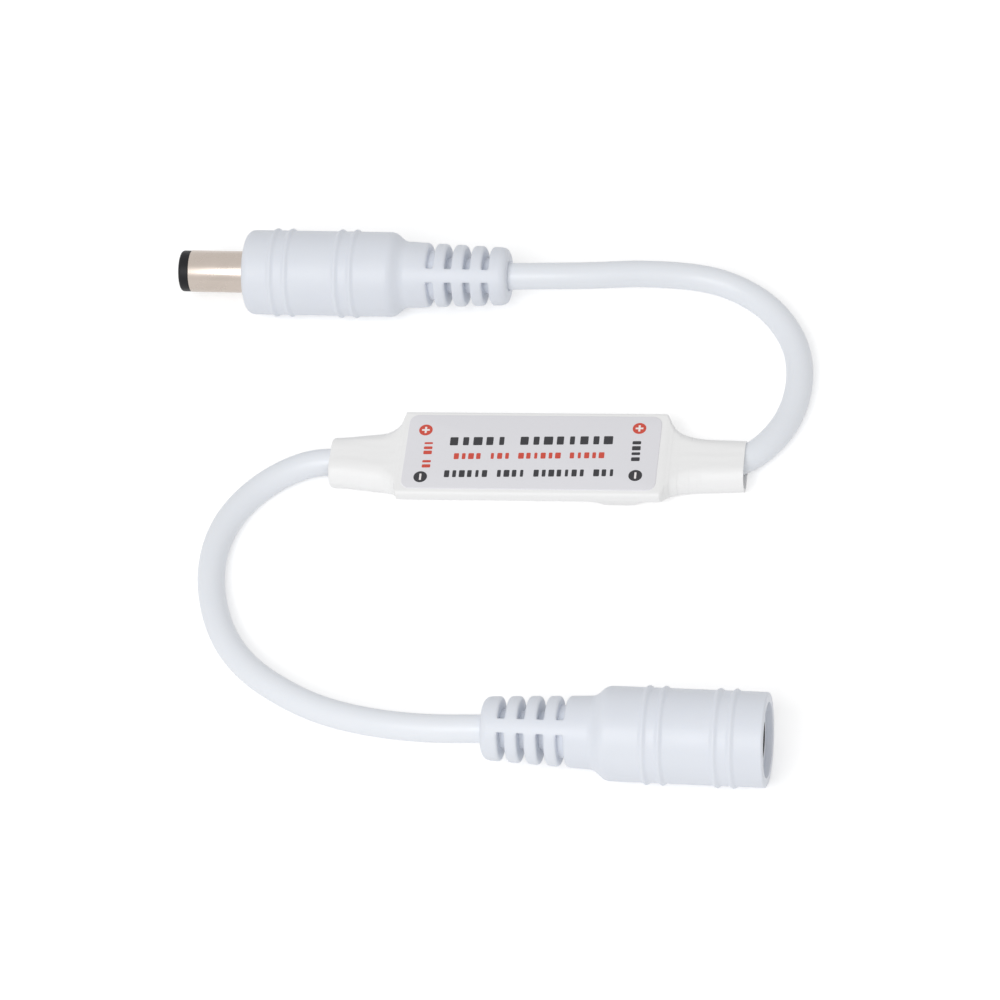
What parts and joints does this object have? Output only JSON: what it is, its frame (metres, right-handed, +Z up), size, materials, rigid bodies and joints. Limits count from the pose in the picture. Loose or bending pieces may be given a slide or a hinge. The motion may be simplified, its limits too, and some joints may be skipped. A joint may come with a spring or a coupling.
{
  "type": "led strip controller",
  "caption": "In-line LED strip controller: a circuit board in a white heat-shrink sleeve, with an input lead to a DC jack and an output lead to a DC plug.",
  "frame": {"origin": "on the table under the middle of the sleeve, at the bottom of its box", "axes": "+X along the sleeve from the input neck to the output neck, +Z up out of the label, +Y towards the side that the plug lies on"},
  "size_m": [0.0842, 0.0847, 0.0121],
  "materials": {
    "sleeve_film": "shrunk white polyolefin film, soft sheen",
    "label_film": "printed pale grey label, satin",
    "board_laminate": "green solder mask over glass-epoxy laminate",
    "epoxy_body": "moulded black epoxy with tinned legs",
    "crystal_can": "plated lid on a ceramic base",
    "capacitor_can": "dark shrunk sleeve on an aluminium can",
    "ceramic": "fired tan ceramic",
    "resistor_glaze": "black glaze",
    "copper_wire": "bare copper wire",
    "solder": "bright solder",
    "lead_red": "red PVC insulation",
    "lead_black": "black PVC insulation",
    "cable_jacket": "bluish white PVC jacket, satin",
    "overmould": "bluish white moulded PVC, satin",
    "inner_mould": "hard moulded plastic",
    "nickel_plate": "nickel-plated brass",
    "black_tip": "moulded black plastic",
    "contact_plate": "plated phosphor bronze",
    "jack_body": "hard moulded bluish white plastic"
  },
  "bodies": {
    "root": {"heat_shrink_sleeve": "sleeve_film", "label": "label_film", "circuit_board": "board_laminate", "power_mosfet": "epoxy_body", "microcontroller": "epoxy_body", "radio_receiver": "epoxy_body", "crystal": "crystal_can", "voltage_regulator": "epoxy_body", "protection_diode": "epoxy_body", "buffer_capacitor": "capacitor_can", "ceramic_capacitors": "ceramic", "resistors": "resistor_glaze", "antenna_coil": "copper_wire", "solder_joints": "solder", "input_positive_lead": "lead_red", "input_negative_lead": "lead_black", "output_positive_lead": "lead_red", "output_negative_lead": "lead_black", "jack_cable": "cable_jacket", "plug_cable": "cable_jacket", "plug_overmould": "overmould", "plug_inner_mould": "inner_mould", "plug_barrel": "nickel_plate", "plug_insulator": "black_tip", "plug_centre_contact": "contact_plate", "plug_positive_lead": "lead_red", "plug_negative_lead": "lead_black", "jack_overmould": "overmould", "jack_insert": "jack_body", "jack_centre_pin": "nickel_plate", "jack_sleeve_terminal": "nickel_plate", "jack_positive_lead": "lead_red", "jack_negative_lead": "lead_black"},
    "contact_spring": {"jack_contact_spring": "contact_plate"}
  },
  "joints": [
    {"name": "contact_spring_flex", "type": "hinge", "parent": "root", "child": "contact_spring", "pos_m": [0.02451, -0.04694, 0.00452], "axis": [0.0131, 0.4693, -0.8829], "range_deg": [0, 4.5], "stiffness_Nm_per_rad": 0.05}
  ]
}
